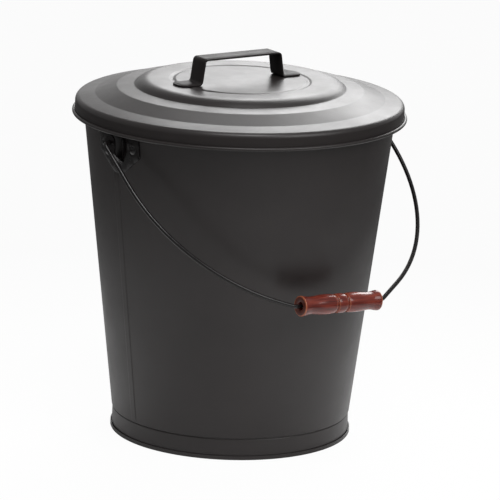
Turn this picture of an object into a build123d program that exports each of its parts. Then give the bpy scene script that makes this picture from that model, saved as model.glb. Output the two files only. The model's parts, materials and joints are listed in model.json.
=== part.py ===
from build123d import *
import math
import os

# Ash bucket with a lift-off lid. Millimetres, +Z up. The origin is on the bucket's axis in the
# plane of the floor. The ears lie on the X axis, and the bail hangs towards -Y.

# Sheets, wires and how closely they fit
wall_sheet = 0.8
foot_sheet = 0.8
pan_sheet = 0.8
lid_sheet = 0.8
ear_sheet = 1.5
strap_sheet = 2.0
rim_wire_dia = 5.0
lid_wire_dia = 2.0
bail_wire_dia = 4.4
roll_clearance = 0.1
roll_turn = 290.0
sheet_bend_radius = 1.0

# Bucket body, radii of the sheet's middle
wall_bottom_radius = 127.8
wall_top_radius = 166.5
wall_bottom_z = 23.6
wall_height = 335.0
lip_width = 8.8
foot_inset = 0.8
foot_flare = 0.4
hem_depth = 1.6
hem_height = 4.4
hem_bend_radius = 0.45
pan_drop = 6.0
pan_edge_inset = 2.0
pan_lip_gap = 9.0
pan_slope_width = 6.0
pan_bend_radius = 4.0
seam_angle = 177.5
seam_width = 8.0
seam_proud = 0.6
seam_foot_gap = 3.4
seam_ear_gap = 1.0

# Lid, widths and rises of the steps of the sheet's middle, from the skirt up to the plate
lid_side_gap = 1.4
lid_seat_gap = 0.45
press_ring_radius = 72.5
press_ring_width = 6.0
press_ring_depth = 0.9
press_ring_bend = 2.0
riser_width = 8.1
riser_rise = 6.8
plate_edge_bend = 20.0
riser_foot_bend = 3.0
shelf_width = 18.8
shelf_rise = 2.4
shelf_bend = 14.0
slope_width = 22.5
slope_rise = 6.9
slope_foot_bend = 12.0
brim_width = 20.8
brim_rise = 4.8
skirt_corner_bend = 5.5
skirt_depth = 14.9

# Ears, heights above and below the hole that the bail turns in
pivot_drop = 23.6
ear_width = 66.0
ear_top_rise = 8.0
ear_shoulder_drop = 13.0
ear_drop = 34.0
ear_point_width = 14.0
ear_corner_radius = 6.0
eye_stand_off = 9.6
eye_radius = 8.0
eye_window_side = 1.5
eye_step_drop = 11.5
eye_step_height = 9.0
eye_foot_length = 1.9
eye_bend_radius = 3.0
eye_clearance = 0.8
eye_seat_gap = 0.05

# Rivets, each ear has three
rivet_dia = 5.0
rivet_head_dia = 9.0
rivet_head_height = 1.9
rivet_tail_dia = 7.5
rivet_tail_height = 1.2
rivet_tail_gap = 0.06
rivet_hole_clearance = 0.05
side_rivet_spacing = 46.0
side_rivet_drop = 5.5

# Bail, measured across and down from the pivot axis in the plane of the bent wire
bail_hang_angle = 49.5
bail_side_gap = 5.25
bail_hook_tail = 8.0
bail_hook_radius = 5.0
bail_tail_radius = 3.2
bail_shoulder_drop = 172.8
bail_side_straight = 10.0
bail_side_angle = 28.0
bail_grip_drop = 240.5
bail_grip_tilt = 5.5
bail_grip_bend = 14.0

# Turned grip
grip_length = 100.0
grip_bore_dia = 8.4
grip_end_dia = 22.0
grip_end_round = 3.0
grip_end_width = 4.5
grip_neck_dia = 19.0
grip_neck_inset = 12.5
grip_belly_dia = 21.2
grip_belly_inset = 31.0
grip_shoulder_dia = 20.2
grip_groove_dia = 17.0
grip_groove_width = 3.0
grip_bead_dia = 20.8
grip_bead_width = 10.3

# Lid handle, a bent strap
handle_angle = -6.8
handle_offset = -4.7
strap_width = 24.0
strap_bend_radius = 3.5
handle_span = 94.4
handle_height = 28.0
handle_splay = 4.0
foot_length = 25.0
foot_round = 8.0

wall_slope = math.degrees(math.atan((wall_top_radius - wall_bottom_radius) / wall_height))
wall_top_z = wall_bottom_z + wall_height


def wall_middle(z):
    """Radius of the wall sheet's middle at a height."""
    return wall_bottom_radius + (z - wall_bottom_z) * math.tan(math.radians(wall_slope))


def wall_outside(z):
    """Radius of the wall's outer face at a height."""
    return wall_middle(z) + wall_sheet / 2 / math.cos(math.radians(wall_slope))


def spun_sheet(path, thickness):
    """A sheet that follows a path in the XZ plane, turned about the axis."""
    return revolve(Plane.XZ * trace(path, thickness), Axis.Z)


def roll_radius(wire_dia, sheet):
    """Radius of the middle of a sheet that is rolled round a wire."""
    return wire_dia / 2 + roll_clearance + sheet / 2


def wire_ring(radius, z, dia):
    return Pos(0, 0, z) * Torus(radius, dia / 2)


# Places that follow from the wall: the lip, the pan and the foot under it
lip_inner_radius = wall_bottom_radius - lip_width
foot_top_radius = wall_bottom_radius - foot_inset
foot_bottom_radius = foot_top_radius + foot_flare
pan_slope_radius = lip_inner_radius - pan_lip_gap
pan_flat_radius = pan_slope_radius - pan_slope_width

# The rolled rim
rim_roll = roll_radius(rim_wire_dia, wall_sheet)
rim_centre_radius = wall_top_radius + rim_roll * math.cos(math.radians(wall_slope))
rim_centre_z = wall_top_z - rim_roll * math.sin(math.radians(wall_slope))
rim_outer_radius = rim_centre_radius + rim_roll + wall_sheet / 2
rim_top_z = rim_centre_z + rim_roll + wall_sheet / 2

# The lid, which drops over the rim
lid_roll = roll_radius(lid_wire_dia, lid_sheet)
skirt_radius = rim_outer_radius + lid_side_gap + lid_sheet / 2
lid_roll_centre = skirt_radius + lid_roll
slope_foot_radius = skirt_radius - brim_width
shelf_radius = slope_foot_radius - slope_width
riser_foot_radius = shelf_radius - shelf_width
plate_edge_radius = riser_foot_radius - riser_width
brim_rise_over_rim = brim_rise * (skirt_radius - rim_centre_radius) / brim_width
skirt_corner_z = rim_top_z + lid_seat_gap + lid_sheet / 2 - brim_rise_over_rim
slope_foot_z = skirt_corner_z + brim_rise
shelf_z = slope_foot_z + slope_rise
riser_foot_z = shelf_z + shelf_rise
plate_z = riser_foot_z + riser_rise
lid_roll_z = skirt_corner_z - skirt_depth

# The ears below the rim
pivot_z = wall_top_z - pivot_drop
ear_top_z = pivot_z + ear_top_rise
ear_shoulder_z = pivot_z - ear_shoulder_drop
ear_bottom_z = pivot_z - ear_drop
eye_plate_x = wall_outside(pivot_z) + eye_stand_off
eye_step_top_z = pivot_z - eye_step_drop
eye_step_bottom_z = eye_step_top_z - eye_step_height
eye_foot_z = eye_step_bottom_z - eye_foot_length
side_rivet_z = pivot_z - side_rivet_drop

# The side seam runs from just above the foot to just below the ear
seam_bottom_z = wall_bottom_z + seam_foot_gap
seam_top_z = ear_bottom_z - seam_ear_gap

# The bail's sides pass outside the ears, and its hooked ends hang between ear and wall
bail_half_width = eye_plate_x + ear_sheet / 2 + bail_side_gap + bail_wire_dia / 2
bail_hook_x = (wall_outside(pivot_z) + eye_plate_x - ear_sheet / 2) / 2


def make_wall():
    """Lip, tapered wall and a rim rolled outwards round a wire."""
    side = FilletPolyline(
        (lip_inner_radius, wall_bottom_z),
        (wall_bottom_radius, wall_bottom_z),
        (wall_top_radius, wall_top_z),
        radius=sheet_bend_radius,
    )
    roll = CenterArc((rim_centre_radius, rim_centre_z), rim_roll, 180 - wall_slope, -roll_turn)
    wall = spun_sheet(side + roll, wall_sheet)
    return wall + make_side_seam()


def make_side_seam():
    """The folded lock seam, a low flat rib down the outside of the wall."""
    band = Polyline(
        (wall_middle(seam_bottom_z), seam_bottom_z),
        (wall_outside(seam_bottom_z) + seam_proud, seam_bottom_z),
        (wall_outside(seam_top_z) + seam_proud, seam_top_z),
        (wall_middle(seam_top_z), seam_top_z),
        close=True,
    )
    ribbon = revolve(Plane.XZ * make_face(band), Axis.Z)
    slab = Box(2 * wall_top_radius, seam_width, wall_height, align=(Align.MIN, Align.CENTER, Align.MIN))
    return ribbon & (Rot(0, 0, seam_angle) * slab)


def make_foot_ring():
    """Band under the wall with a folded hem that the bucket stands on."""
    top_z = wall_bottom_z - wall_sheet / 2 - pan_sheet - foot_sheet / 2
    path = FilletPolyline(
        (lip_inner_radius, top_z),
        (foot_top_radius, top_z),
        (foot_bottom_radius, foot_sheet / 2),
        (foot_bottom_radius + hem_depth, foot_sheet / 2),
        (foot_bottom_radius + hem_depth, hem_height),
        radius=[sheet_bend_radius, hem_bend_radius, hem_bend_radius],
    )
    return spun_sheet(path, foot_sheet)


def make_bottom_pan():
    """Pressed bottom, its edge held between the lips of the wall and the foot ring."""
    edge_z = wall_bottom_z - wall_sheet / 2 - pan_sheet / 2
    path = FilletPolyline(
        (0, edge_z - pan_drop),
        (pan_flat_radius, edge_z - pan_drop),
        (pan_slope_radius, edge_z),
        (wall_bottom_radius - pan_edge_inset, edge_z),
        radius=pan_bend_radius,
    )
    return spun_sheet(path, pan_sheet)


# Ears: the one at +X is made, and the other is the same turned half round
def make_ear_plate():
    """Curved shield that lies on the wall, open behind the eye."""
    low, high = ear_bottom_z, ear_top_z
    band = Polyline(
        (wall_outside(low), low),
        (wall_outside(low) + ear_sheet, low),
        (wall_outside(high) + ear_sheet, high),
        (wall_outside(high), high),
        close=True,
    )
    shell = revolve(Plane.XZ * make_face(band), Axis.Z)
    half, point = ear_width / 2, ear_point_width / 2
    outline = Polyline(
        (-half, high + 1), (half, high + 1), (half, ear_shoulder_z), (point, low),
        (-point, low), (-half, ear_shoulder_z), close=True,
    )
    shield = make_face(outline)
    shield = fillet(shield.vertices().filter_by_position(Axis.Y, low - 1, high), ear_corner_radius)
    prism = extrude(Plane.YZ * shield, eye_plate_x + ear_width)
    window_width = 2 * (eye_radius + eye_window_side)
    window_height = high - eye_step_bottom_z + 1
    window = Pos(eye_plate_x, 0, eye_step_bottom_z) * Box(
        eye_plate_x, window_width, 2 * window_height, align=(Align.CENTER, Align.CENTER, Align.MIN))
    return (shell & prism) - window


def make_eye():
    """Strip that stands off the wall and carries the hole for the bail."""
    foot_x = wall_outside(eye_foot_z) + eye_seat_gap + ear_sheet / 2
    step_x = wall_outside(eye_step_bottom_z) + eye_seat_gap + ear_sheet / 2
    path = FilletPolyline(
        (foot_x, eye_foot_z),
        (step_x, eye_step_bottom_z),
        (eye_plate_x, eye_step_top_z),
        (eye_plate_x, pivot_z + eye_radius),
        radius=eye_bend_radius,
    )
    strip = extrude(Plane.XZ * trace(path, ear_sheet), eye_radius, both=True)
    outline = Pos(0, pivot_z) * Circle(eye_radius) + Pos(0, eye_foot_z) * Rectangle(
        2 * eye_radius, pivot_z - eye_foot_z, align=(Align.CENTER, Align.MIN))
    strip = strip & extrude(Plane.YZ * outline, eye_plate_x + eye_radius)
    hole = Pos(eye_plate_x, 0, pivot_z) * Rot(0, 90, 0) * Cylinder(
        bail_wire_dia / 2 + eye_clearance, 3 * ear_sheet)
    return strip - hole


def rivet_places():
    """Name and frame of each rivet of the +X ear, on the wall's outer face, facing out."""
    side_angle = math.degrees(math.asin(side_rivet_spacing / 2 / wall_outside(side_rivet_z)))
    low_z = (ear_bottom_z + eye_step_bottom_z) / 2
    spots = [("front", -side_angle, side_rivet_z), ("rear", side_angle, side_rivet_z)]
    spots.append(("lower", 0.0, low_z))
    places = []
    for name, angle, z in spots:
        frame = Rot(0, 0, angle) * Pos(wall_outside(z), 0, z) * Rot(0, 90 + wall_slope, 0)
        places.append((name, frame))
    return places


def make_rivet(frame):
    """Domed head outside the ear, shank through both sheets and a flat tail inside."""
    head, shank, tail = rivet_head_dia / 2, rivet_dia / 2, rivet_tail_dia / 2
    tail_top = -wall_sheet - rivet_tail_gap
    tail_bottom = tail_top - rivet_tail_height
    top = (0, ear_sheet + rivet_head_height)
    dome = TangentArc(top, (head, ear_sheet), tangent=(1, 0))
    rest = Polyline(
        (head, ear_sheet), (shank, ear_sheet), (shank, tail_top), (tail, tail_top),
        (tail, tail_bottom), (0, tail_bottom), top,
    )
    return frame * revolve(Plane.XZ * make_face([dome] + rest.edges()), Axis.Z)


def make_rivet_hole(frame):
    return frame * Cylinder(rivet_dia / 2 + rivet_hole_clearance, 8 * ear_sheet)


# Bail: bent in its own plane, then hung from the pivot axis
bail_plane = Plane(
    origin=(0, 0, pivot_z),
    x_dir=(1, 0, 0),
    z_dir=(0, math.cos(math.radians(bail_hang_angle)), -math.sin(math.radians(bail_hang_angle))),
)


def grip_line_ends():
    """Where the line through the grip meets the two sides of the bail, across and down."""
    side = math.tan(math.radians(bail_side_angle))
    tilt = math.tan(math.radians(bail_grip_tilt))
    spare = bail_shoulder_drop + side * bail_half_width - bail_grip_drop
    right, left = spare / (side + tilt), -spare / (side - tilt)
    return (right, bail_grip_drop + tilt * right), (left, bail_grip_drop + tilt * left)


def long_bend_radius(left):
    """Radius of the long bend at each side, which leaves a straight run before the grip."""
    run = math.hypot(bail_half_width + left[0], left[1] - bail_shoulder_drop)
    grip_turn = math.radians(bail_side_angle - bail_grip_tilt)
    run -= bail_side_straight + bail_grip_bend * math.tan(grip_turn / 2)
    return run / math.tan(math.radians(90 - bail_side_angle) / 2)


def make_bail():
    right, left = grip_line_ends()
    half, hook = bail_half_width, bail_hook_x
    side_bend = long_bend_radius(left)
    path = FilletPolyline(
        (hook, -bail_hook_tail), (hook, 0), (half, 0), (half, bail_shoulder_drop), right,
        left, (-half, bail_shoulder_drop), (-half, 0), (-hook, 0), (-hook, -bail_hook_tail),
        radius=[bail_tail_radius, bail_hook_radius, side_bend, bail_grip_bend,
                bail_grip_bend, side_bend, bail_hook_radius, bail_tail_radius],
    )
    section = Plane(path @ 0, z_dir=path % 0) * Circle(bail_wire_dia / 2)
    return bail_plane * sweep(section, path)


def grip_half_outline(side):
    """One half of the turned outline, from the middle to an end; side is 1 or -1."""
    half, bead = grip_length / 2, grip_bead_width / 2
    groove = bead + grip_groove_width
    shoulder, end = grip_shoulder_dia / 2, grip_end_dia / 2
    points = {
        "top": (0, grip_bead_dia / 2),
        "bead": (side * bead, shoulder - (grip_bead_dia - grip_shoulder_dia) / 2),
        "groove": (side * (bead + grip_groove_width / 2), grip_groove_dia / 2),
        "shoulder": (side * groove, shoulder),
        "belly": (side * (half - grip_belly_inset), grip_belly_dia / 2),
        "neck": (side * (half - grip_neck_inset), grip_neck_dia / 2),
        "flare": (side * (half - grip_end_width), end),
        "edge": (side * half, end - grip_end_round),
        "bore": (side * half, grip_bore_dia / 2),
    }
    swell = [points[name] for name in ("shoulder", "belly", "neck", "flare")]
    return [
        Spline(points["top"], points["bead"], tangents=[(side, 0), (side, -0.9)]),
        Line(points["bead"], points["groove"]),
        Line(points["groove"], points["shoulder"]),
        Spline(*swell, tangents=[(side, 0.5), (side, 0)]),
        Spline(points["flare"], points["edge"], tangents=[(side, 0), (0.3 * side, -1)]),
        Line(points["edge"], points["bore"]),
    ]


def make_grip():
    """Turned grip with flared ends, two long swells and a bead between two grooves."""
    right, left = grip_line_ends()
    middle = ((right[0] + left[0]) / 2, (right[1] + left[1]) / 2)
    bore = Line((-grip_length / 2, grip_bore_dia / 2), (grip_length / 2, grip_bore_dia / 2))
    turned = revolve(make_face(grip_half_outline(1) + grip_half_outline(-1) + [bore]), Axis.X)
    return bail_plane * Pos(middle[0], middle[1], 0) * Rot(0, 0, bail_grip_tilt) * turned


# Lid
def make_lid_pan():
    """Stepped pressing with a skirt, its edge rolled outwards round a wire."""
    ring_in = press_ring_radius - press_ring_width / 2
    ring_out = press_ring_radius + press_ring_width / 2
    ring_floor_in = press_ring_radius - press_ring_width / 6
    ring_floor_out = press_ring_radius + press_ring_width / 6
    ring_z = plate_z - press_ring_depth
    top = FilletPolyline(
        (0, plate_z), (ring_in, plate_z), (ring_floor_in, ring_z), (ring_floor_out, ring_z),
        (ring_out, plate_z), (plate_edge_radius, plate_z), (riser_foot_radius, riser_foot_z),
        (shelf_radius, shelf_z), (slope_foot_radius, slope_foot_z), (skirt_radius, skirt_corner_z),
        (skirt_radius, lid_roll_z),
        radius=[press_ring_bend, press_ring_bend, press_ring_bend, press_ring_bend,
                plate_edge_bend, riser_foot_bend, shelf_bend, slope_foot_bend, skirt_corner_bend],
    )
    roll = CenterArc((lid_roll_centre, lid_roll_z), lid_roll, 180, roll_turn)
    return spun_sheet(top + roll, lid_sheet)


def make_handle():
    """Strap bent into a grip with splayed legs and two rounded feet on the lid."""
    foot_z, top_z = strap_sheet / 2, handle_height - strap_sheet / 2
    top, leg = handle_span / 2, handle_span / 2 + handle_splay
    tip = leg + foot_length
    path = FilletPolyline(
        (-tip, foot_z), (-leg, foot_z), (-top, top_z), (top, top_z), (leg, foot_z), (tip, foot_z),
        radius=strap_bend_radius,
    )
    strap = extrude(Plane.XZ * trace(path, strap_sheet), strap_width / 2, both=True)
    plan = RectangleRounded(2 * tip, strap_width, foot_round)
    strap = strap & extrude(plan, handle_height)
    turned = Rot(0, 0, handle_angle) * Pos(handle_offset, 0, 0) * strap
    return Pos(0, 0, plate_z + lid_sheet / 2) * turned


def make_parts():
    places = rivet_places()
    ear = make_ear_plate() + make_eye()
    wall = make_wall()
    for name, frame in places:
        hole = make_rivet_hole(frame)
        ear = ear - hole
        wall = wall - hole - Rot(0, 0, 180) * hole
    parts = {
        "bucket_wall": wall,
        "rim_wire": wire_ring(rim_centre_radius, rim_centre_z, rim_wire_dia),
        "foot_ring": make_foot_ring(),
        "bottom_pan": make_bottom_pan(),
        "bail_wire": make_bail(),
        "wood_grip": make_grip(),
        "lid_pan": make_lid_pan(),
        "lid_rim_wire": wire_ring(lid_roll_centre, lid_roll_z, lid_wire_dia),
        "lid_handle": make_handle(),
    }
    for side, turn in (("right", 0), ("left", 180)):
        parts[side + "_ear"] = Rot(0, 0, turn) * ear
        for name, frame in places:
            parts[side + "_ear_rivet_" + name] = Rot(0, 0, turn) * make_rivet(frame)
    return parts


os.makedirs("parts", exist_ok=True)
for node, solid in make_parts().items():
    export_step(solid, "parts/" + node + ".step")
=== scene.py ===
import json
import math

import bmesh
import bpy
from mathutils import Matrix, Vector


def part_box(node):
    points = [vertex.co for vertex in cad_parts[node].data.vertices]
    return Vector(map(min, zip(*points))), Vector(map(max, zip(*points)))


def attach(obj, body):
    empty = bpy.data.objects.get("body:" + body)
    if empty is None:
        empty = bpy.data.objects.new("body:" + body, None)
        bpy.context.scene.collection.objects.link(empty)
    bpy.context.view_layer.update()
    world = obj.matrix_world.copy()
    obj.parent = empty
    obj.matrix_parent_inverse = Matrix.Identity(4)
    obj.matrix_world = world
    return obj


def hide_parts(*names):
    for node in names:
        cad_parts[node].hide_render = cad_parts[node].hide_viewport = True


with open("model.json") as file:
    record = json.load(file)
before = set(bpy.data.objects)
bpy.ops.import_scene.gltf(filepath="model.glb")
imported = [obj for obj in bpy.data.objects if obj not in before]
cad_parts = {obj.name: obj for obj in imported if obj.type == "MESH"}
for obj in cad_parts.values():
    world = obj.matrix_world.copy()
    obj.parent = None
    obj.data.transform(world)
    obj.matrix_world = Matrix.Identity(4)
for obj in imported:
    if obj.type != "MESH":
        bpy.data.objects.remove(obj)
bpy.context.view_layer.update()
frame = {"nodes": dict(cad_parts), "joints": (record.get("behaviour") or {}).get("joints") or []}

# Lengths are in metres. How finely round forms are divided
MM = 0.001
LATHE_STEPS = 288
GRIP_STEPS = 96
WIRE_SIDES = 24
WALL_STEPS = 60
SHARP_ANGLE = 50

# Sheets, and the rolls round the wires
SHEET = 0.8 * MM
SHEET_BEND = 1.0 * MM
ROLL_TURN = 290.0

# Bucket wall, radius and height of the sheet's middle
WALL_FOOT = (127.8 * MM, 23.6 * MM)
WALL_TOP = (166.5 * MM, 358.6 * MM)
LIP_RADIUS = WALL_FOOT[0] - 8.8 * MM

# Side seam
SEAM_ANGLE = math.radians(177.5)
SEAM_HALF_WIDTH = 4.0 * MM
SEAM_PROUD = 0.6 * MM
SEAM_EDGE_IN = 0.5 * MM
SEAM_EDGE_OUT = 0.3 * MM
SEAM_BOTTOM = 27.0 * MM
SEAM_TOP = 300.0 * MM
SEAM_END_RUN = 2.0 * MM
SEAM_REACH = 1.6
SEAM_STEPS = 30

# Foot band with its folded hem
FOOT_TOP = (WALL_FOOT[0] - 0.8 * MM, WALL_FOOT[1] - 2 * SHEET)
FOOT_BOTTOM_RADIUS = FOOT_TOP[0] + 0.4 * MM
HEM_RADIUS = FOOT_BOTTOM_RADIUS + 1.6 * MM
HEM_TOP = 4.4 * MM
HEM_BEND = 0.45 * MM

# Pressed bottom, whose edge closes the seam between wall and foot band
PAN_EDGE = (FOOT_TOP[0], WALL_FOOT[1] - SHEET)
PAN_SLOPE_RADIUS = LIP_RADIUS - 9.0 * MM
PAN_FLAT_RADIUS = PAN_SLOPE_RADIUS - 6.0 * MM
PAN_DROP = 6.0 * MM
PAN_BEND = 4.0 * MM

# Lid, with its steps outwards from the plate: width, drop and the bend at the outer end
LID_ROLL = 1.5 * MM
PLATE_EDGE_BEND = 20.0 * MM
RISER = (8.1 * MM, 6.8 * MM, 3.0 * MM)
SHELF = (18.8 * MM, 2.0 * MM, 9.0 * MM)
SLOPE = (22.5 * MM, 7.8 * MM, 8.0 * MM)
BRIM = (20.8 * MM, 3.9 * MM, 5.5 * MM)

# Ring pressed into the plate of the lid
PRESS_RING_RADIUS = 72.5 * MM
PRESS_RING_HALF = 3.5 * MM
PRESS_FLOOR_HALF = 0.9 * MM
PRESS_RING_DEPTH = 0.9 * MM
PRESS_EDGE_BEND = 5.0 * MM
PRESS_FLOOR_BEND = 2.6 * MM

# Lid handle, half lengths from its middle
STRAP_SHEET = 2.0 * MM
STRAP_WIDTH = 24.0 * MM
STRAP_EDGE = 0.5 * MM
STRAP_BEND = 3.5 * MM
HANDLE_ANGLE = math.radians(-6.8)
HANDLE_OFFSET = -4.7 * MM
HANDLE_HEIGHT = 28.0 * MM
HANDLE_TOP_HALF = 47.2 * MM
HANDLE_LEG_HALF = HANDLE_TOP_HALF + 4.0 * MM
HANDLE_TIP_HALF = HANDLE_LEG_HALF + 25.0 * MM
FOOT_ROUND = 8.0 * MM
FOOT_STEPS = 12

# Bail wire, across and down from the pivot axis
WIRE_DIA = 4.4 * MM
WIRE_END_CUT = 0.5 * MM
WIRE_END_SHARE = 0.75
BAIL_HOOK = 168.6 * MM
BAIL_TAIL = 8.0 * MM
BAIL_TAIL_BEND = 3.2 * MM
BAIL_HOOK_BEND = 5.0 * MM
BAIL_SHOULDER = 172.8 * MM
BAIL_SIDE_ANGLE = math.radians(28.0)
BAIL_SIDE_STRAIGHT = 10.0 * MM
BAIL_GRIP_BEND = 14.0 * MM
BEND_STEPS = 24

# Turned grip, distances from its middle and radii
GRIP_HALF = 50.0 * MM
GROOVE_START = 5.5 * MM
GROOVE_END = 7.8 * MM
BELLY_AT = 19.0 * MM
NECK_START = 37.5 * MM
NECK_END = 39.0 * MM
FLARE_AT = 49.2 * MM
BEAD_RADIUS = 10.4 * MM
SHOULDER_RADIUS = 9.4 * MM
GROOVE_RADIUS = 8.5 * MM
BELLY_RADIUS = 10.6 * MM
NECK_RADIUS = 9.35 * MM
FLARE_RADIUS = 10.75 * MM
BORE_RADIUS = 4.2 * MM
MOUTH_ROUND = 1.0 * MM

# Softened edges of the stamped ears
EAR_BEVEL = 0.3 * MM
WELD_REACH = 0.01 * MM

# Colours of the wood, from the darkest grain to the lighter colour on turned edges, a painted highlight
# that also stands for stain wearing thin
WOOD_DARK = (0.068, 0.007, 0.004)
WOOD_MIDDLE = (0.140, 0.015, 0.008)
WOOD_LIGHT = (0.240, 0.034, 0.016)
WOOD_END = (0.080, 0.020, 0.012)
WOOD_GLINT_AND_WEAR = (0.42, 0.12, 0.055)

# Camera, found by fitting the rings of the lid and the hem to the photograph
CAMERA_TURN = math.radians(-40.0)
CAMERA_RISE = math.radians(14.3)
CAMERA_ROLL = math.radians(1.84)
CAMERA_DISTANCE = 4.5
CAMERA_LENS = 302.2
CAMERA_AIM_HEIGHT = 0.19
CAMERA_AIM_RIGHT = 0.0158
CAMERA_AIM_UP = 0.0061

# Floor: its colour is a painted pool of light, brightest in front of the bucket and fading to painted
# shade further off
FLOOR_REACH = 30.0
FLOOR_NEAR = 0.95
FLOOR_FAR = 0.12
PAINTED_POOL_MIDDLE = 0.35
PAINTED_POOL_EDGE = 0.95
PAINTED_POOL_FORWARD = 0.18
FLOOR_WHITENING = 0.96

# Room: dim, with a white sweep low down behind the bucket
ROOM_LEVEL = 0.3
SWEEP_LEVEL = 1.0
SWEEP_TURN = math.radians(12)
SWEEP_SIDE = 0.72
SWEEP_MIDDLE = 0.95
SWEEP_LOW = 0.4
SWEEP_HIGH = 0.65

# Lamps: turn from the camera and rise in degrees, width and height in metres, power in watts
LAMP_DISTANCE = 2.6
LAMP_AIM_HEIGHT = 0.2
LAMPS = {
    "back": (166.5, 33.5, 1.6, 1.4, 39),
    "front_key": (50, 36, 1.35, 1.2, 18),
    "front_top": (10, 66, 1.0, 1.0, 24),
}


def ring_centre(node):
    """Radius and height of the middle of a wire ring, from its box."""
    low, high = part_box(node)
    return high.x - (high.z - low.z) / 2, (high.z + low.z) / 2


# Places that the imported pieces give
RIM_CENTRE = ring_centre("rim_wire")
LID_ROLL_CENTRE = ring_centre("lid_rim_wire")
SKIRT_RADIUS = LID_ROLL_CENTRE[0] - LID_ROLL
PLATE_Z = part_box("lid_handle")[0].z - SHEET / 2
BAIL_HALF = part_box("bail_wire")[1].x - WIRE_DIA / 2

# The bail's plane and the line through its grip, as the joints give them
joints = {joint["name"]: joint for joint in frame["joints"]}
PIVOT = Vector(joints["bail_swing"]["pos_m"])
GRIP_MIDDLE = Vector(joints["grip_spin"]["pos_m"])
GRIP_AXIS = Vector(joints["grip_spin"]["axis"]).normalized()
BAIL_ACROSS = Vector((1, 0, 0))
BAIL_DOWN = Vector((0, GRIP_MIDDLE.y - PIVOT.y, GRIP_MIDDLE.z - PIVOT.z)).normalized()
GRIP_SLOPE = GRIP_AXIS.dot(BAIL_DOWN) / GRIP_AXIS.x
GRIP_DROP = (GRIP_MIDDLE - PIVOT).dot(BAIL_DOWN) - GRIP_SLOPE * GRIP_MIDDLE.x


def rise(value, low, high):
    """Smooth step from 0 at low to 1 at high."""
    share = min(max((value - low) / (high - low), 0.0), 1.0)
    return share * share * (3 - 2 * share)


def towards(turn, climb=0.0):
    """Unit vector out from the bucket; turn 0 is -Y, and climb is the angle above the floor."""
    return Vector((math.sin(turn) * math.cos(climb), -math.cos(turn) * math.cos(climb), math.sin(climb)))


def even_angles(steps):
    return [2 * math.pi * step / steps for step in range(steps)]


def tangent(path, index):
    """Direction of a path at one of its points."""
    before = Vector(path[max(index - 1, 0)])
    after = Vector(path[min(index + 1, len(path) - 1)])
    return (after - before).normalized()


# Profiles
def arc(centre, radius, start, end, steps, height=None):
    """Points on an arc, angles in degrees, both ends included; a height makes it oval."""
    tall = radius if height is None else height
    points = []
    for step in range(steps + 1):
        angle = math.radians(start + (end - start) * step / steps)
        points.append((centre[0] + radius * math.cos(angle), centre[1] + tall * math.sin(angle)))
    return points


def round_corners(points, radii, steps=8):
    """A polyline with its inner corners rounded."""
    rounded = [points[0]]
    for index in range(1, len(points) - 1):
        here = Vector(points[index])
        before = (Vector(points[index - 1]) - here).normalized()
        after = (Vector(points[index + 1]) - here).normalized()
        radius = radii[index - 1]
        half_turn = (math.pi - before.angle(after)) / 2
        reach = radius * math.tan(half_turn)
        centre = here + (before + after).normalized() * (radius / math.cos(half_turn))
        first = here + before * reach - centre
        last = here + after * reach - centre
        turn = first.angle_signed(last)
        for step in range(steps + 1):
            spoke = Matrix.Rotation(-turn * step / steps, 2) @ first
            rounded.append(tuple(centre + spoke))
    rounded.append(points[-1])
    return rounded


def thicken(path, thickness):
    """Closed outline of a sheet whose middle follows a path."""
    left, right = [], []
    for index, point in enumerate(path):
        along = tangent(path, index)
        across = Vector((-along.y, along.x)) * (thickness / 2)
        left.append(tuple(Vector(point) + across))
        right.append(tuple(Vector(point) - across))
    return left + right[::-1]


def swell(start, end, from_radius, to_radius, steps=10):
    """Smooth change of radius between two places along the grip, without its first point."""
    points = []
    for step in range(1, steps + 1):
        along = start + (end - start) * step / steps
        points.append((along, from_radius + (to_radius - from_radius) * rise(along, start, end)))
    return points


# Meshes
def new_object(name, mesh):
    piece = bpy.data.objects.new(name, mesh)
    bpy.context.scene.collection.objects.link(piece)
    return piece


def smooth_object(name, mesh_maker):
    """Turn a finished bmesh into an object with smooth faces that look outwards."""
    bmesh.ops.recalc_face_normals(mesh_maker, faces=mesh_maker.faces)
    mesh = bpy.data.meshes.new(name)
    mesh_maker.to_mesh(mesh)
    mesh_maker.free()
    mesh.polygons.foreach_set("use_smooth", [True] * len(mesh.polygons))
    return new_object(name, mesh)


def lathe(name, outline, angles, shape=None):
    """Turn a closed outline of (radius, height) points about the Z axis.

    A shape function may move a point, given its angle, radius and height.
    """
    mesh_maker = bmesh.new()
    rings = []
    for radius, height in outline:
        if radius < 1e-7:
            pole = mesh_maker.verts.new((0, 0, height))
            rings.append([pole] * len(angles))
            continue
        ring = []
        for angle in angles:
            far = radius if shape is None else shape(angle, radius, height)
            ring.append(mesh_maker.verts.new((far * math.cos(angle), far * math.sin(angle), height)))
        rings.append(ring)
    for ring, following in zip(rings, rings[1:] + rings[:1]):
        if ring[0] is ring[1] and following[0] is following[1]:
            continue
        for step in range(len(angles)):
            beyond = (step + 1) % len(angles)
            corners = [ring[step], ring[beyond], following[beyond], following[step]]
            mesh_maker.faces.new(dict.fromkeys(corners))
    return smooth_object(name, mesh_maker)


def loft(name, sections):
    """Skin closed sections of equal length, and cap both ends."""
    mesh_maker = bmesh.new()
    loops = [[mesh_maker.verts.new(point) for point in section] for section in sections]
    count = len(loops[0])
    for first, second in zip(loops, loops[1:]):
        for index in range(count):
            beyond = (index + 1) % count
            mesh_maker.faces.new([first[index], first[beyond], second[beyond], second[index]])
    mesh_maker.faces.new(loops[0][::-1])
    mesh_maker.faces.new(loops[-1])
    return smooth_object(name, mesh_maker)


def finish_piece(piece, sharp_angle, body, slot, material, *nodes):
    """Keep a piece's sharper edges crisp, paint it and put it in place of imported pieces."""
    piece.data.set_sharp_from_angle(angle=math.radians(sharp_angle))
    piece.data.materials.append(material)
    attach(piece, body)
    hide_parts(*nodes)


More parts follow.
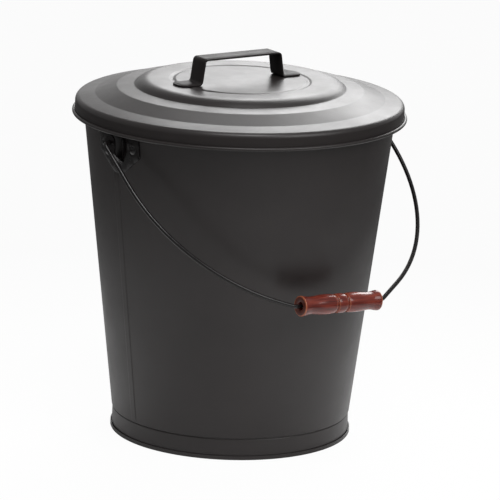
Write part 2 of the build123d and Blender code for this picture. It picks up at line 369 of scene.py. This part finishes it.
# Material nodes
def new_material(name):
    material = bpy.data.materials.new(name)
    material.use_nodes = True
    return material, material.node_tree, material.node_tree.nodes["Principled BSDF"]


def add_noise(tree, scale, detail, roughness, source=None):
    """Noise over a vector, or else over the object's own coordinates."""
    if source is None:
        source = tree.nodes.new("ShaderNodeTexCoord").outputs["Object"]
    noise = tree.nodes.new("ShaderNodeTexNoise")
    noise.inputs["Scale"].default_value = scale
    noise.inputs["Detail"].default_value = detail
    noise.inputs["Roughness"].default_value = roughness
    tree.links.new(source, noise.inputs["Vector"])
    return noise.outputs["Fac"]


def add_mapping(tree, source, setting, value):
    mapping = tree.nodes.new("ShaderNodeMapping")
    mapping.inputs[setting].default_value = value
    tree.links.new(source, mapping.inputs["Vector"])
    return mapping.outputs["Vector"]


def add_range(tree, source, given, wanted=(0.0, 1.0)):
    """Map one range of a value onto another."""
    spread = tree.nodes.new("ShaderNodeMapRange")
    for end, low_high in (("From", given), ("To", wanted)):
        spread.inputs[end + " Min"].default_value = low_high[0]
        spread.inputs[end + " Max"].default_value = low_high[1]
    tree.links.new(source, spread.inputs["Value"])
    return spread.outputs["Result"]


def add_ramp(tree, source, stops):
    ramp = tree.nodes.new("ShaderNodeValToRGB")
    elements = ramp.color_ramp.elements
    while len(elements) < len(stops):
        elements.new(0.5)
    for element, (place, colour) in zip(elements, stops):
        element.position = place
        element.color = (*colour, 1.0)
    tree.links.new(source, ramp.inputs["Fac"])
    return ramp.outputs["Color"]


def add_mix(tree, factor, under, over):
    """Lay a plain colour over another colour."""
    mix = tree.nodes.new("ShaderNodeMix")
    mix.data_type = "RGBA"
    colours = [socket for socket in mix.inputs if socket.type == "RGBA"]
    tree.links.new(factor, mix.inputs["Factor"])
    tree.links.new(under, colours[0])
    colours[1].default_value = (*over, 1.0)
    return [socket for socket in mix.outputs if socket.type == "RGBA"][0]


def add_math(tree, operation, first, second=0.0):
    """Maths on two values, each one a number or a linked output."""
    node = tree.nodes.new("ShaderNodeMath")
    node.operation = operation
    for socket, value in zip(node.inputs, (first, second)):
        if isinstance(value, float):
            socket.default_value = value
        else:
            tree.links.new(value, socket)
    return node.outputs["Value"]


def add_vector_math(tree, operation, source, other=None):
    """Vector maths on a linked vector and, where the operation takes one, a fixed one."""
    node = tree.nodes.new("ShaderNodeVectorMath")
    node.operation = operation
    tree.links.new(source, node.inputs[0])
    if other is not None:
        node.inputs[1].default_value = other
    return node.outputs["Value" if operation in ("LENGTH", "DOT_PRODUCT") else "Vector"]


def add_blend(tree, first, first_share, second):
    """Two textures added in shares that make 1."""
    return add_math(tree, "ADD", add_math(tree, "MULTIPLY", first, first_share),
                    add_math(tree, "MULTIPLY", second, 1.0 - first_share))


def add_bump(tree, shader, height, distance, strength):
    bump = tree.nodes.new("ShaderNodeBump")
    bump.inputs["Distance"].default_value = distance
    bump.inputs["Strength"].default_value = strength
    tree.links.new(height, bump.inputs["Height"])
    tree.links.new(bump.outputs["Normal"], shader.inputs["Normal"])


# Materials
def painted_steel(name, dark, light, roughness, grain_scale, specular):
    """Black paint on sheet steel: fine orange peel, slight cloudiness in colour and gloss."""
    material, tree, shader = new_material(name)
    cloud = add_noise(tree, 14.0, 5.0, 0.55)
    tree.links.new(add_ramp(tree, cloud, [(0.3, dark), (0.7, light)]), shader.inputs["Base Color"])
    peel = add_noise(tree, grain_scale, 3.0, 0.55)
    patches = add_noise(tree, 30.0, 6.0, 0.6)
    dullness = add_range(tree, add_blend(tree, patches, 0.6, peel), (0.38, 0.62), roughness)
    tree.links.new(dullness, shader.inputs["Roughness"])
    shader.inputs["Specular IOR Level"].default_value = specular
    add_bump(tree, shader, peel, 0.03 * MM, 0.6)
    return material


def grip_zones(tree, position):
    """Where turned edges get lighter wood, a painted highlight that also stands for stain wearing thin,
    and where the end grain is dark.
    """
    offset = add_vector_math(tree, "SUBTRACT", position, GRIP_MIDDLE)
    distance = add_math(tree, "ABSOLUTE", add_vector_math(tree, "DOT_PRODUCT", offset, GRIP_AXIS))
    span = add_vector_math(tree, "LENGTH", offset)
    squares = add_math(tree, "SUBTRACT", add_math(tree, "POWER", span, 2.0),
                       add_math(tree, "POWER", distance, 2.0))
    radius = add_math(tree, "SQRT", add_math(tree, "MAXIMUM", squares, 0.0))
    share = add_math(tree, "DIVIDE", distance, GRIP_HALF)
    plain, glint_and_rub = (0, 0, 0), (0.6, 0.6, 0.6)
    # Painted highlight on the ridges beside the grooves and on the end rims, also standing for stain
    # wearing thin
    ridges = add_ramp(tree, share, [
        (0.085, plain), (0.102, glint_and_rub), (0.120, plain),
        (0.150, plain), (0.168, glint_and_rub), (0.190, plain)])
    outer = add_range(tree, radius, (9.3 * MM, 9.9 * MM))
    inner = add_math(tree, "SUBTRACT", 1.0, outer)
    rim = add_math(tree, "MULTIPLY", add_range(tree, share, (0.968, 0.982), (0.0, 0.9)), outer)
    end_grain = add_math(tree, "MULTIPLY", add_range(tree, share, (0.985, 0.995), (0.0, 0.8)), inner)
    return add_math(tree, "MAXIMUM", ridges, rim), end_grain


def lacquered_wood(name):
    """Red-brown turned wood under a lacquer, its grain running along the grip."""
    material, tree, shader = new_material(name)
    position = tree.nodes.new("ShaderNodeTexCoord").outputs["Object"]
    turn = GRIP_AXIS.rotation_difference(BAIL_ACROSS).to_euler()
    lengthwise = add_mapping(tree, position, "Rotation", turn)
    stretched = add_mapping(tree, lengthwise, "Scale", (0.12, 1.0, 1.0))
    grain = add_noise(tree, 420.0, 6.0, 0.5, stretched)
    streak = add_noise(tree, 110.0, 4.0, 0.5, stretched)
    colour = add_ramp(tree, add_blend(tree, grain, 0.45, streak), [
        (0.36, WOOD_DARK), (0.48, WOOD_MIDDLE), (0.62, WOOD_LIGHT)])
    glint_and_wear, end_grain = grip_zones(tree, position)
    # Painted highlight: lighter wood on the end rims and the groove ridges, which also stands for stain
    # wearing thin
    colour = add_mix(tree, glint_and_wear, colour, WOOD_GLINT_AND_WEAR)
    colour = add_mix(tree, end_grain, colour, WOOD_END)
    tree.links.new(colour, shader.inputs["Base Color"])
    tree.links.new(add_range(tree, grain, (0.3, 0.7), (0.32, 0.5)), shader.inputs["Roughness"])
    shader.inputs["Specular IOR Level"].default_value = 0.2
    shader.inputs["Coat Weight"].default_value = 0.7
    shader.inputs["Coat Roughness"].default_value = 0.12
    shader.inputs["Coat IOR"].default_value = 1.52
    add_bump(tree, shader, grain, 0.08 * MM, 0.4)
    return material


satin_black = painted_steel("satin_black", dark=(0.020, 0.0165, 0.0160), light=(0.026, 0.0215, 0.0210),
                            roughness=(0.34, 0.42), grain_scale=1500.0, specular=0.5)
gloss_black = painted_steel("gloss_black", dark=(0.006, 0.005, 0.005), light=(0.010, 0.008, 0.008),
                            roughness=(0.18, 0.28), grain_scale=900.0, specular=0.45)
handle_black = painted_steel("handle_black", dark=(0.018, 0.015, 0.015), light=(0.026, 0.023, 0.022),
                             roughness=(0.46, 0.54), grain_scale=1200.0, specular=0.15)
wood = lacquered_wood("lacquered_wood")


# Bucket
def spun_sheet(name, path, body, node, angles, shape=None):
    """A painted sheet turned about the Z axis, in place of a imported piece."""
    piece = lathe(name, thicken(path, SHEET), angles, shape)
    finish_piece(piece, SHARP_ANGLE, body, "satin_black", satin_black, node)


def wall_radius(height):
    """Radius of the wall sheet's middle at a height."""
    share = (height - WALL_FOOT[1]) / (WALL_TOP[1] - WALL_FOOT[1])
    return WALL_FOOT[0] + (WALL_TOP[0] - WALL_FOOT[0]) * share


def seam_angles():
    """Even steps round the wall, with closer ones across the seam."""
    reach = SEAM_REACH * SEAM_HALF_WIDTH / WALL_FOOT[0]
    angles = [angle for angle in even_angles(LATHE_STEPS) if abs(angle - SEAM_ANGLE) > reach]
    angles += [SEAM_ANGLE + reach * (2 * step / SEAM_STEPS - 1) for step in range(SEAM_STEPS + 1)]
    return sorted(angles)


def raise_seam(angle, radius, height):
    """Radius of a point of the wall, pushed out where the seam is folded."""
    if radius < wall_radius(height):
        return radius
    off = abs(angle - SEAM_ANGLE) * radius
    fold = 1 - rise(off, SEAM_HALF_WIDTH - SEAM_EDGE_IN, SEAM_HALF_WIDTH + SEAM_EDGE_OUT)
    started = rise(height, SEAM_BOTTOM - SEAM_END_RUN, SEAM_BOTTOM)
    ended = rise(height, SEAM_TOP - SEAM_END_RUN, SEAM_TOP)
    return radius + SEAM_PROUD * fold * started * (1 - ended)


def make_wall():
    """Lip, tapered wall with its seam, and the rim rolled outwards round a wire."""
    slope = math.degrees(math.atan2(WALL_TOP[0] - WALL_FOOT[0], WALL_TOP[1] - WALL_FOOT[1]))
    roll = (RIM_CENTRE[0] - WALL_TOP[0]) / math.cos(math.radians(slope))
    side = []
    for step in range(1, WALL_STEPS + 1):
        height = WALL_FOOT[1] + (WALL_TOP[1] - WALL_FOOT[1]) * step / WALL_STEPS
        side.append((wall_radius(height), height))
    path = round_corners([(LIP_RADIUS, WALL_FOOT[1]), WALL_FOOT, side[0]], [SHEET_BEND])[:-1] + side
    path += arc(RIM_CENTRE, roll, 180 - slope, 180 - slope - ROLL_TURN, 30)[1:]
    spun_sheet("wall_shell", path, "bucket", "bucket_wall", seam_angles(), raise_seam)


def make_foot():
    """Band under the wall with a folded hem that the bucket stands on."""
    corners = [(LIP_RADIUS, FOOT_TOP[1]), FOOT_TOP, (FOOT_BOTTOM_RADIUS, SHEET / 2),
               (HEM_RADIUS, SHEET / 2), (HEM_RADIUS, HEM_TOP)]
    path = round_corners(corners, [SHEET_BEND, HEM_BEND, HEM_BEND])
    spun_sheet("foot_band", path, "bucket", "foot_ring", even_angles(LATHE_STEPS))


def make_pan():
    """Pressed bottom, its edge held between the lips of the wall and the foot band."""
    floor_level = PAN_EDGE[1] - PAN_DROP
    corners = [(0, floor_level), (PAN_FLAT_RADIUS, floor_level), (PAN_SLOPE_RADIUS, PAN_EDGE[1]),
               PAN_EDGE]
    path = round_corners(corners, [PAN_BEND, PAN_BEND])
    spun_sheet("pressed_pan", path, "bucket", "bottom_pan", even_angles(LATHE_STEPS))


# Lid
def make_lid():
    """Stepped pressing with a skirt, its edge rolled outwards round a wire."""
    steps = [RISER, SHELF, SLOPE, BRIM]
    ring_floor = PLATE_Z - PRESS_RING_DEPTH
    radius = SKIRT_RADIUS - sum(width for width, drop, bend in steps)
    level = PLATE_Z
    corners = [
        (0, PLATE_Z),
        (PRESS_RING_RADIUS - PRESS_RING_HALF, PLATE_Z),
        (PRESS_RING_RADIUS - PRESS_FLOOR_HALF, ring_floor),
        (PRESS_RING_RADIUS + PRESS_FLOOR_HALF, ring_floor),
        (PRESS_RING_RADIUS + PRESS_RING_HALF, PLATE_Z),
        (radius, level),
    ]
    bends = [PRESS_EDGE_BEND, PRESS_FLOOR_BEND, PRESS_FLOOR_BEND, PRESS_EDGE_BEND, PLATE_EDGE_BEND]
    for width, drop, bend in steps:
        radius += width
        level -= drop
        corners.append((radius, level))
        bends.append(bend)
    corners.append((SKIRT_RADIUS, LID_ROLL_CENTRE[1]))
    path = round_corners(corners, bends, 10)[:-1]
    path += arc(LID_ROLL_CENTRE, LID_ROLL, 180, 180 + ROLL_TURN, 24)
    spun_sheet("lid_shell", path, "lid", "lid_pan", even_angles(LATHE_STEPS))


def strap_half_width(along):
    """Half the strap's width at a distance from its middle, rounded at the feet."""
    left = HANDLE_TIP_HALF - abs(along)
    if left >= FOOT_ROUND:
        return STRAP_WIDTH / 2
    inset = FOOT_ROUND - math.sqrt(max(FOOT_ROUND ** 2 - (FOOT_ROUND - left) ** 2, 0.0))
    return STRAP_WIDTH / 2 - inset


def strap_section(half_width):
    """Outline across the strap with its edges cut, as (sideways, through the sheet)."""
    section = []
    for side, level in ((1, 1), (-1, 1), (-1, -1), (1, -1)):
        beside = (side * half_width, level * (STRAP_SHEET / 2 - STRAP_EDGE))
        above = (side * (half_width - STRAP_EDGE), level * STRAP_SHEET / 2)
        section += [beside, above] if side * level > 0 else [above, beside]
    return section


def make_handle():
    """Strap bent into a grip with splayed legs and two rounded feet on the lid."""
    low, high = STRAP_SHEET / 2, HANDLE_HEIGHT - STRAP_SHEET / 2
    corners = [(-HANDLE_TIP_HALF, low), (-HANDLE_LEG_HALF, low), (-HANDLE_TOP_HALF, high),
               (HANDLE_TOP_HALF, high), (HANDLE_LEG_HALF, low), (HANDLE_TIP_HALF, low)]
    ends = []
    for step in range(FOOT_STEPS + 1):
        ends.append(HANDLE_TIP_HALF - FOOT_ROUND * (1 - math.cos(math.pi / 2 * step / FOOT_STEPS)))
    path = [(-end, low) for end in ends]
    path += round_corners(corners, [STRAP_BEND] * 4)[1:-1]
    path += [(end, low) for end in ends[::-1]]
    base = Matrix.Translation((0, 0, PLATE_Z + SHEET / 2)) @ Matrix.Rotation(HANDLE_ANGLE, 4, "Z")
    base = base @ Matrix.Translation((HANDLE_OFFSET, 0, 0))
    sections = []
    for index, (along, height) in enumerate(path):
        run = tangent(path, index)
        section = []
        for wide, deep in strap_section(strap_half_width(along)):
            section.append(base @ Vector((along - run.y * deep, wide, height + run.x * deep)))
        sections.append(section)
    piece = loft("lid_strap", sections)
    finish_piece(piece, 60, "lid", "handle_black", handle_black, "lid_handle")


# Bail
def grip_line_ends():
    """Where the line through the grip meets the two sides of the bail, across and down."""
    side = math.tan(BAIL_SIDE_ANGLE)
    spare = BAIL_SHOULDER + side * BAIL_HALF - GRIP_DROP
    right, left = spare / (side + GRIP_SLOPE), -spare / (side - GRIP_SLOPE)
    return (right, GRIP_DROP + GRIP_SLOPE * right), (left, GRIP_DROP + GRIP_SLOPE * left)


def long_bend(left):
    """Radius of the long bend at each side, which leaves a straight run before the grip."""
    run = math.hypot(BAIL_HALF + left[0], left[1] - BAIL_SHOULDER)
    grip_turn = BAIL_SIDE_ANGLE - math.atan(GRIP_SLOPE)
    run -= BAIL_SIDE_STRAIGHT + BAIL_GRIP_BEND * math.tan(grip_turn / 2)
    return run / math.tan((math.pi / 2 - BAIL_SIDE_ANGLE) / 2)


def bail_path():
    """The middle of the wire from hook to hook, across and down."""
    right, left = grip_line_ends()
    side = [(BAIL_HOOK, -BAIL_TAIL), (BAIL_HOOK, 0), (BAIL_HALF, 0), (BAIL_HALF, BAIL_SHOULDER)]
    other_side = [(-across, down) for across, down in side[::-1]]
    bends = [BAIL_TAIL_BEND, BAIL_HOOK_BEND, long_bend(left), BAIL_GRIP_BEND]
    path = round_corners(side + [right, left] + other_side, bends + bends[::-1], BEND_STEPS)
    return [Vector(point) for point in path]


def make_bail():
    """Round wire along its path, with the edges of its two ends cut."""
    path = bail_path()
    into_start = tangent(path, 0) * WIRE_END_CUT
    into_end = tangent(path, len(path) - 1) * WIRE_END_CUT
    path = [path[0], path[0] + into_start] + path[1:-1] + [path[-1] - into_end, path[-1]]
    radii = [WIRE_DIA / 2] * len(path)
    radii[0] = radii[-1] = WIRE_END_SHARE * WIRE_DIA / 2
    out_of_plane = BAIL_ACROSS.cross(BAIL_DOWN).normalized()
    sections = []
    for index, (point, radius) in enumerate(zip(path, radii)):
        along = tangent(path, index)
        sideways = BAIL_DOWN * along.x - BAIL_ACROSS * along.y
        middle = PIVOT + BAIL_ACROSS * point.x + BAIL_DOWN * point.y
        section = []
        for angle in even_angles(WIRE_SIDES):
            spoke = sideways * math.cos(angle) + out_of_plane * math.sin(angle)
            section.append(middle + spoke * radius)
        sections.append(section)
    piece = loft("bail_rod", sections)
    finish_piece(piece, SHARP_ANGLE, "bail", "gloss_black", gloss_black, "bail_wire")


def grip_outline():
    """Outline of the turned grip from end to end, as (radius, along)."""
    corner = GRIP_HALF - FLARE_AT
    groove_middle, groove_half = (GROOVE_START + GROOVE_END) / 2, (GROOVE_END - GROOVE_START) / 2
    right = arc((0, SHOULDER_RADIUS), GROOVE_START, 90, 0, 9, BEAD_RADIUS - SHOULDER_RADIUS)
    right += arc((groove_middle, SHOULDER_RADIUS), groove_half, 180, 0, 8,
                 GROOVE_RADIUS - SHOULDER_RADIUS)[1:]
    right += arc((BELLY_AT, SHOULDER_RADIUS), BELLY_AT - GROOVE_END, 180, 90, 12,
                 BELLY_RADIUS - SHOULDER_RADIUS)[1:]
    right += swell(BELLY_AT, NECK_START, BELLY_RADIUS, NECK_RADIUS)
    right += [(NECK_END, NECK_RADIUS)] + swell(NECK_END, FLARE_AT, NECK_RADIUS, FLARE_RADIUS)
    right += arc((FLARE_AT, FLARE_RADIUS - corner), corner, 90, 0, 5)[1:]
    right += arc((GRIP_HALF - MOUTH_ROUND, BORE_RADIUS + MOUTH_ROUND), MOUTH_ROUND, 0, -90, 5)
    left = [(-along, radius) for along, radius in right[:0:-1]]
    return [(radius, along) for along, radius in left + right]


def make_grip():
    """Turned grip with flared ends, two long swells and a bead between two grooves."""
    piece = lathe("turned_grip", grip_outline(), even_angles(GRIP_STEPS))
    turn = Vector((0, 0, 1)).rotation_difference(GRIP_AXIS).to_matrix().to_4x4()
    piece.data.transform(Matrix.Translation(GRIP_MIDDLE) @ turn)
    finish_piece(piece, 70, "grip", "lacquered_wood", wood, "wood_grip")


def node_material(name):
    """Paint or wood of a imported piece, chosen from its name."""
    others = {"bail_wire": gloss_black, "lid_handle": handle_black, "wood_grip": wood}
    return gloss_black if "_ear" in name else others.get(name, satin_black)


def dress_cad_nodes():
    """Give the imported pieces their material, and soften the stamped edges of the ears."""
    for name, node in frame["nodes"].items():
        node.data.materials.clear()
        node.data.materials.append(node_material(name))
        weld = node.modifiers.new("weld", "WELD")
        weld.merge_threshold = WELD_REACH
        if name.endswith("_ear"):
            bevel = node.modifiers.new("worn_edge", "BEVEL")
            bevel.width = EAR_BEVEL
            bevel.segments = 2
            bevel.limit_method = "ANGLE"
            bevel.angle_limit = math.radians(SHARP_ANGLE)
            bevel.harden_normals = True


# Stage
def make_floor():
    """Pale floor that the camera sees nearly white, with the shadow that the bucket throws; its own
    colour holds a painted pool of light.
    """
    mesh = bpy.data.meshes.new("floor")
    corners = [(x * FLOOR_REACH, y * FLOOR_REACH, 0) for x, y in ((-1, -1), (1, -1), (1, 1), (-1, 1))]
    mesh.from_pydata(corners, [], [(0, 1, 2, 3)])
    floor = new_object("floor", mesh)
    material, tree, shader = new_material("pale_floor")
    position = tree.nodes.new("ShaderNodeTexCoord").outputs["Object"]
    # Painted pool of light: the floor's colour is bright in front of the bucket and painted dark further
    # off, and the bucket's sides reflect it
    from_pool = add_vector_math(tree, "SUBTRACT", position, towards(CAMERA_TURN) * PAINTED_POOL_FORWARD)
    shade = add_range(tree, add_vector_math(tree, "LENGTH", from_pool), (PAINTED_POOL_MIDDLE, PAINTED_POOL_EDGE))
    colour = add_ramp(tree, shade, [(0.0, [FLOOR_NEAR] * 3), (1.0, [FLOOR_FAR] * 3)])
    tree.links.new(colour, shader.inputs["Base Color"])
    shader.inputs["Roughness"].default_value = 0.9
    shader.inputs["Specular IOR Level"].default_value = 0.1
    white = tree.nodes.new("ShaderNodeEmission")
    path = tree.nodes.new("ShaderNodeLightPath")
    share = add_math(tree, "MULTIPLY", path.outputs["Is Camera Ray"], FLOOR_WHITENING)
    mix = tree.nodes.new("ShaderNodeMixShader")
    tree.links.new(share, mix.inputs["Fac"])
    tree.links.new(shader.outputs["BSDF"], mix.inputs[1])
    tree.links.new(white.outputs["Emission"], mix.inputs[2])
    tree.links.new(mix.outputs["Shader"], tree.nodes["Material Output"].inputs["Surface"])
    mesh.materials.append(material)


def make_camera():
    """Camera turned round the bucket, aimed a little off its axis and rolled."""
    right = Vector((math.cos(CAMERA_TURN), math.sin(CAMERA_TURN), 0))
    back = towards(CAMERA_TURN, CAMERA_RISE)
    centre = Vector((0, 0, CAMERA_AIM_HEIGHT))
    place = centre + back * CAMERA_DISTANCE
    aim = centre + right * CAMERA_AIM_RIGHT + back.cross(right) * CAMERA_AIM_UP
    look = (place - aim).normalized()
    side = (right - look * right.dot(look)).normalized()
    picture_right = side * math.cos(CAMERA_ROLL) + look.cross(side) * math.sin(CAMERA_ROLL)
    picture_up = look.cross(picture_right)
    camera = new_object("camera", bpy.data.cameras.new("camera"))
    turn = Matrix((picture_right, picture_up, look)).transposed()
    camera.matrix_world = Matrix.Translation(place) @ turn.to_4x4()
    camera.data.lens = CAMERA_LENS
    camera.data.sensor_width = 36.0
    camera.data.clip_end = 100.0
    bpy.context.scene.camera = camera


def make_lamp(name, turn, climb, width, height, power):
    """Softbox that looks at the bucket; its turn is measured from the camera."""
    back = towards(CAMERA_TURN + math.radians(turn), math.radians(climb))
    lamp = bpy.data.lights.new(name, "AREA")
    lamp.shape = "RECTANGLE"
    lamp.size = width
    lamp.size_y = height
    lamp.energy = power
    holder = new_object(name, lamp)
    holder.location = Vector((0, 0, LAMP_AIM_HEIGHT)) + back * LAMP_DISTANCE
    holder.rotation_mode = "QUATERNION"
    holder.rotation_quaternion = back.to_track_quat("Z", "Y")


def make_world():
    """A dim room with a white sweep low down behind the bucket; the camera sees white."""
    world = bpy.data.worlds.new("studio")
    bpy.context.scene.world = world
    world.use_nodes = True
    tree = world.node_tree
    tree.nodes.clear()
    direction = tree.nodes.new("ShaderNodeTexCoord").outputs["Generated"]
    split = tree.nodes.new("ShaderNodeSeparateXYZ")
    tree.links.new(direction, split.inputs["Vector"])
    behind = add_vector_math(tree, "DOT_PRODUCT", direction, towards(CAMERA_TURN + math.pi - SWEEP_TURN))
    backward = add_range(tree, behind, (SWEEP_SIDE, SWEEP_MIDDLE))
    low_down = add_range(tree, split.outputs["Z"], (SWEEP_LOW, SWEEP_HIGH), (1.0, 0.0))
    sweep = add_math(tree, "MULTIPLY", backward, low_down)
    level = add_math(tree, "MULTIPLY", sweep, SWEEP_LEVEL - ROOM_LEVEL)
    level = add_math(tree, "ADD", level, ROOM_LEVEL)
    path = tree.nodes.new("ShaderNodeLightPath")
    strength = add_math(tree, "MAXIMUM", level, path.outputs["Is Camera Ray"])
    room = tree.nodes.new("ShaderNodeBackground")
    room.inputs["Color"].default_value = (1, 1, 1, 1)
    tree.links.new(strength, room.inputs["Strength"])
    output = tree.nodes.new("ShaderNodeOutputWorld")
    tree.links.new(room.outputs["Background"], output.inputs["Surface"])


dress_cad_nodes()
make_wall()
make_foot()
make_pan()
make_lid()
make_handle()
make_bail()
make_grip()
make_floor()
make_camera()
make_world()
for lamp_name, settings in LAMPS.items():
    make_lamp(lamp_name, *settings)

bpy.context.scene.view_settings.view_transform = "Standard"
